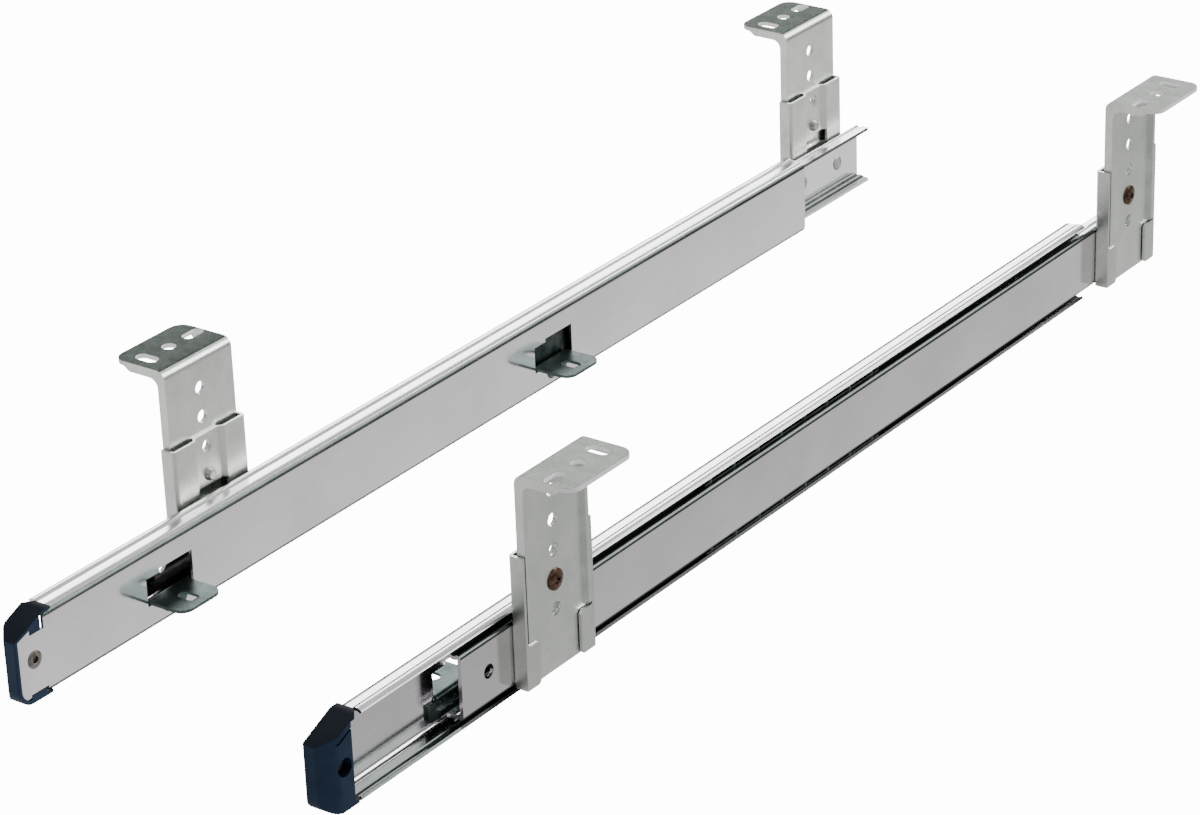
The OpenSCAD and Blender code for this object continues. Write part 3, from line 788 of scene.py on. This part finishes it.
for side in sides:
    for row, direction in (("upper", 1), ("lower", -1)):
        low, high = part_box(f"{side}_{row}_balls")
        middle = (low.y + high.y) / 2 / mm
        shape = bmesh.new()
        for i in range(ballLook["count"]):
            y = middle + (i - (ballLook["count"] - 1) / 2) * ballLook["pitch"]
            spot = Vector((sideSign(side) * (layout["railFace"] + ballLook["outwards"]), y,
                           layout["slideZ"] + direction * ballLook["height"]))
            bmesh.ops.create_uvsphere(shape, u_segments=24, v_segments=16,
                                      radius=ballLook["diameter"] / 2 * mm,
                                      matrix=Matrix.Translation(spot * mm))
        finishPiece(f"{side}{row.title()}Balls", shape, [f"{side}_{row}_balls"],
                    [ballSteel])
print("balls made")


# Floor, light and camera

studio = {
    "floorZ": -71.6,        # just under the lowest raceway, in millimetres
    "skyLow": "#4d5052", "skyHigh": "#e9ebec", "skyStrength": 0.7,
    "skyFrom": 0.06, "skyTo": 0.3,  # the dark rim above the horizon, as the sine of the height
    "floorGlow": 0.85,      # what the metal sees of the paper under the middle of the part
    "glowSlope": (-3.4, 0.3, 0),    # and how that grows per metre: brightest at the left
    "floorDusk": 0.5, "floorBright": 1.05,  # where it stops falling and growing
    "fadeFrom": 0.35, "fadeTo": 0.95, "farGlow": 0.15,  # it also fades away from the part
    "floorShown": 14.0,     # what the lens sees: paper lit until it burns out
}

# the lens sees burnt out paper; the metal sees paper lit from one side that fades away from it
floorShape = bmesh.new()
bmesh.ops.create_grid(floorShape, x_segments=1, y_segments=1, size=6.0,
                      matrix=Matrix.Translation((0, 0, studio["floorZ"] * mm)))
floor = looseObject("floor", floorShape)
floor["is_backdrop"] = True
floorPaper, tree, shader = startMaterial("whitePaperSweep", {
    "Base Color": hexColour("#2c2c2c"), "Roughness": 0.9,
    "Emission Color": hexColour("#ffffff")})
coords = addNode(tree, "ShaderNodeTexCoord")
slope = addNode(tree, "ShaderNodeVectorMath",
                {"operation": "DOT_PRODUCT", 1: studio["glowSlope"]}, {0: (coords, "Object")})
fade = addNode(tree, "ShaderNodeMapRange",
               {"From Min": studio["floorDusk"] - studio["floorGlow"],
                "From Max": studio["floorBright"] - studio["floorGlow"],
                "To Min": studio["floorDusk"], "To Max": studio["floorBright"]},
               {"Value": (slope, "Value")})
away = addNode(tree, "ShaderNodeVectorMath", {"operation": "LENGTH"}, {0: (coords, "Object")})
far = addNode(tree, "ShaderNodeMapRange",
              {"From Min": studio["fadeFrom"], "From Max": studio["fadeTo"],
               "To Min": 1.0, "To Max": studio["farGlow"]},
              {"Value": (away, "Value")})
seen = addNode(tree, "ShaderNodeMath", {"operation": "MULTIPLY"},
               {0: (fade, "Result"), 1: (far, "Result")})
path = addNode(tree, "ShaderNodeLightPath")
glow = addNode(tree, "ShaderNodeMapRange", {"To Max": studio["floorShown"]},
               {"Value": (path, "Is Camera Ray"), "To Min": (seen, 0)})
tree.links.new(glow.outputs["Result"], shader.inputs["Emission Strength"])
floor.data.materials.append(floorPaper)

world = bpy.data.worlds.new("softStudio")
bpy.context.scene.world = world
world.use_nodes = True
tree = world.node_tree
coords = addNode(tree, "ShaderNodeTexCoord")
split = addNode(tree, "ShaderNodeSeparateXYZ", {}, {"Vector": (coords, "Generated")})
rise = addNode(tree, "ShaderNodeMapRange",
               {"From Min": studio["skyFrom"], "From Max": studio["skyTo"]},
               {"Value": (split, "Z")})
sky = addNode(tree, "ShaderNodeMix",
              {"data_type": "RGBA", 6: hexColour(studio["skyLow"]),
               7: hexColour(studio["skyHigh"])},
              {0: (rise, "Result")})
tree.links.new(sky.outputs[2], tree.nodes["Background"].inputs["Color"])
tree.nodes["Background"].inputs["Strength"].default_value = studio["skyStrength"]

# name: (place, aim, width, height, watts), in metres
lamps = {
    "backLeftSoftbox": ((-1.09, 1.45, 0.86), (0, 0, -0.04), 1.5, 0.7, 20.0),
    "backRightSoftbox": ((0.97, 1.28, 0.95), (0, 0, -0.04), 1.5, 0.8, 24.0),
    "overheadSoftbox": ((0.1, -0.1, 1.7), (0, 0, 0), 1.8, 1.8, 8.0),
    "frontSoftbox": ((1.3, -1.0, 0.9), (0, 0, 0), 1.0, 1.0, 3.0),
}
for name, (spot, aim, width, height, watts) in lamps.items():
    data = bpy.data.lights.new(name, "AREA")
    data.shape, data.size, data.size_y, data.energy = "RECTANGLE", width, height, watts
    lamp = bpy.data.objects.new(name, data)
    bpy.context.scene.collection.objects.link(lamp)
    lamp.location = spot
    lamp.rotation_euler = (Vector(aim) - Vector(spot)).to_track_quat("-Z", "Y").to_euler()

# camera worked out from the photograph's edges
view = {
    "place": (0.688826, -0.983694, 0.497487),
    "right": (0.81242229, 0.58207808, -0.03398718),
    "up": (-0.22324796, 0.36438275, 0.90409378),
    "back": (0.53863751, -0.72691837, 0.42598041),
    "lens": 121.97,
}
cameraData = bpy.data.cameras.new("camera")
cameraData.lens, cameraData.sensor_width = view["lens"], 36
cameraData.clip_start, cameraData.clip_end = 0.05, 30
camera = bpy.data.objects.new("camera", cameraData)
bpy.context.scene.collection.objects.link(camera)
axes = Matrix((view["right"], view["up"], view["back"])).transposed().to_4x4()
camera.matrix_world = Matrix.Translation(view["place"]) @ axes
bpy.context.scene.camera = camera

low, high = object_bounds()
